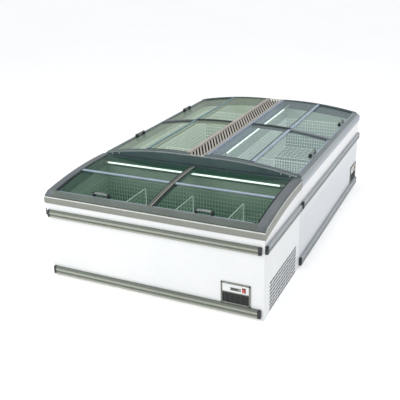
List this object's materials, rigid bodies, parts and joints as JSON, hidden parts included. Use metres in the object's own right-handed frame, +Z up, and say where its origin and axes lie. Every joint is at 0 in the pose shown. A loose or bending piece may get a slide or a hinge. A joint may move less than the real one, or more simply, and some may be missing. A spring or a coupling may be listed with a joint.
{
  "type": "island chest freezer",
  "caption": "Island chest freezer with a low end cabinet across two side cabinets, curved sliding glass lids, bumper rails and a centre air grille.",
  "frame": {"origin": "middle of the island's footprint, on the floor", "axes": "+Z up, -Y towards the shopper in front of the head cabinet, +Y along the side cabinets"},
  "size_m": [1.894, 3.0356, 0.8889],
  "materials": {
    "white_sheet": "satin",
    "foam": "matte",
    "liner_sheet": "satin",
    "grey_moulding": "satin",
    "lamp_white": "gloss",
    "black_moulding": "matte",
    "machine_metal": "satin",
    "rail_moulding": "satin",
    "green_glass": "gloss",
    "white_wire": "satin",
    "handle_metal": "satin",
    "switch_red": "gloss",
    "slate_sheet": "satin",
    "tan_sheet": "satin"
  },
  "bodies": {
    "cabinets": {"head_outer_casing": "white_sheet", "head_insulation": "foam", "head_inner_liner": "liner_sheet", "head_top_frame": "grey_moulding", "head_lamp": "lamp_white", "head_control_panel": "black_moulding", "head_condensing_unit": "machine_metal", "head_upper_rail": "rail_moulding", "head_lower_rail": "rail_moulding", "head_rear_pane_left": "green_glass", "head_rear_pane_right": "green_glass", "head_wire_divider_left": "white_wire", "head_wire_divider_middle": "white_wire", "head_wire_divider_right": "white_wire", "left_side_outer_casing": "white_sheet", "left_side_insulation": "foam", "left_side_inner_liner": "liner_sheet", "left_side_top_frame": "grey_moulding", "left_side_lamp": "lamp_white", "left_side_control_panel": "black_moulding", "left_side_condensing_unit": "machine_metal", "left_side_upper_rail": "rail_moulding", "left_side_lower_rail": "rail_moulding", "left_side_rear_pane_left": "green_glass", "left_side_rear_pane_right": "green_glass", "left_side_wire_divider_middle": "white_wire", "right_side_outer_casing": "white_sheet", "right_side_insulation": "foam", "right_side_inner_liner": "liner_sheet", "right_side_top_frame": "grey_moulding", "right_side_lamp": "lamp_white", "right_side_control_panel": "black_moulding", "right_side_condensing_unit": "machine_metal", "right_side_upper_rail": "rail_moulding", "right_side_lower_rail": "rail_moulding", "right_side_rear_pane_left": "green_glass", "right_side_rear_pane_right": "green_glass", "right_side_wire_divider_middle": "white_wire", "head_left_end_rail": "rail_moulding", "head_right_end_rail": "rail_moulding", "head_end_louvre": "white_sheet", "gable_panel": "slate_sheet", "centre_grille": "tan_sheet"},
    "head_lid_left": {"head_front_lid_left": "green_glass", "head_lid_handle_left": "handle_metal"},
    "head_lid_right": {"head_front_lid_right": "green_glass", "head_lid_handle_right": "handle_metal"},
    "head_switch": {"head_power_switch": "switch_red"},
    "left_side_lid_left": {"left_side_front_lid_left": "green_glass", "left_side_lid_handle_left": "handle_metal"},
    "left_side_lid_right": {"left_side_front_lid_right": "green_glass", "left_side_lid_handle_right": "handle_metal"},
    "left_side_switch": {"left_side_power_switch": "switch_red"},
    "right_side_lid_left": {"right_side_front_lid_left": "green_glass", "right_side_lid_handle_left": "handle_metal"},
    "right_side_lid_right": {"right_side_front_lid_right": "green_glass", "right_side_lid_handle_right": "handle_metal"},
    "right_side_switch": {"right_side_power_switch": "switch_red"}
  },
  "joints": [
    {"name": "head_lid_left_slide", "type": "hinge", "parent": "cabinets", "child": "head_lid_left", "pos_m": [0, -0.7758, -3.094], "axis": [-1, 0, 0], "range_deg": [0, 4.41]},
    {"name": "head_lid_right_slide", "type": "hinge", "parent": "cabinets", "child": "head_lid_right", "pos_m": [0, -0.7758, -3.094], "axis": [-1, 0, 0], "range_deg": [0, 4.41]},
    {"name": "head_power_switch_tip", "type": "hinge", "parent": "cabinets", "child": "head_switch", "pos_m": [0.7755, -1.5008, 0.221], "axis": [1, 0, 0], "range_deg": [-12, 0]},
    {"name": "left_side_lid_left_slide", "type": "hinge", "parent": "cabinets", "child": "left_side_lid_left", "pos_m": [-0.175, 0.4453, -2.711], "axis": [0, 1, 0], "range_deg": [0, 4.78]},
    {"name": "left_side_lid_right_slide", "type": "hinge", "parent": "cabinets", "child": "left_side_lid_right", "pos_m": [-0.175, 0.4453, -2.711], "axis": [0, 1, 0], "range_deg": [0, 4.78]},
    {"name": "left_side_power_switch_tip", "type": "hinge", "parent": "cabinets", "child": "left_side_switch", "pos_m": [-0.93, -0.5512, 0.221], "axis": [0, -1, 0], "range_deg": [-12, 0]},
    {"name": "right_side_lid_left_slide", "type": "hinge", "parent": "cabinets", "child": "right_side_lid_left", "pos_m": [0.175, 0.4453, -2.711], "axis": [0, -1, 0], "range_deg": [0, 4.78]},
    {"name": "right_side_lid_right_slide", "type": "hinge", "parent": "cabinets", "child": "right_side_lid_right", "pos_m": [0.175, 0.4453, -2.711], "axis": [0, -1, 0], "range_deg": [0, 4.78]},
    {"name": "right_side_power_switch_tip", "type": "hinge", "parent": "cabinets", "child": "right_side_switch", "pos_m": [0.93, 1.4418, 0.221], "axis": [0, 1, 0], "range_deg": [-12, 0]}
  ]
}
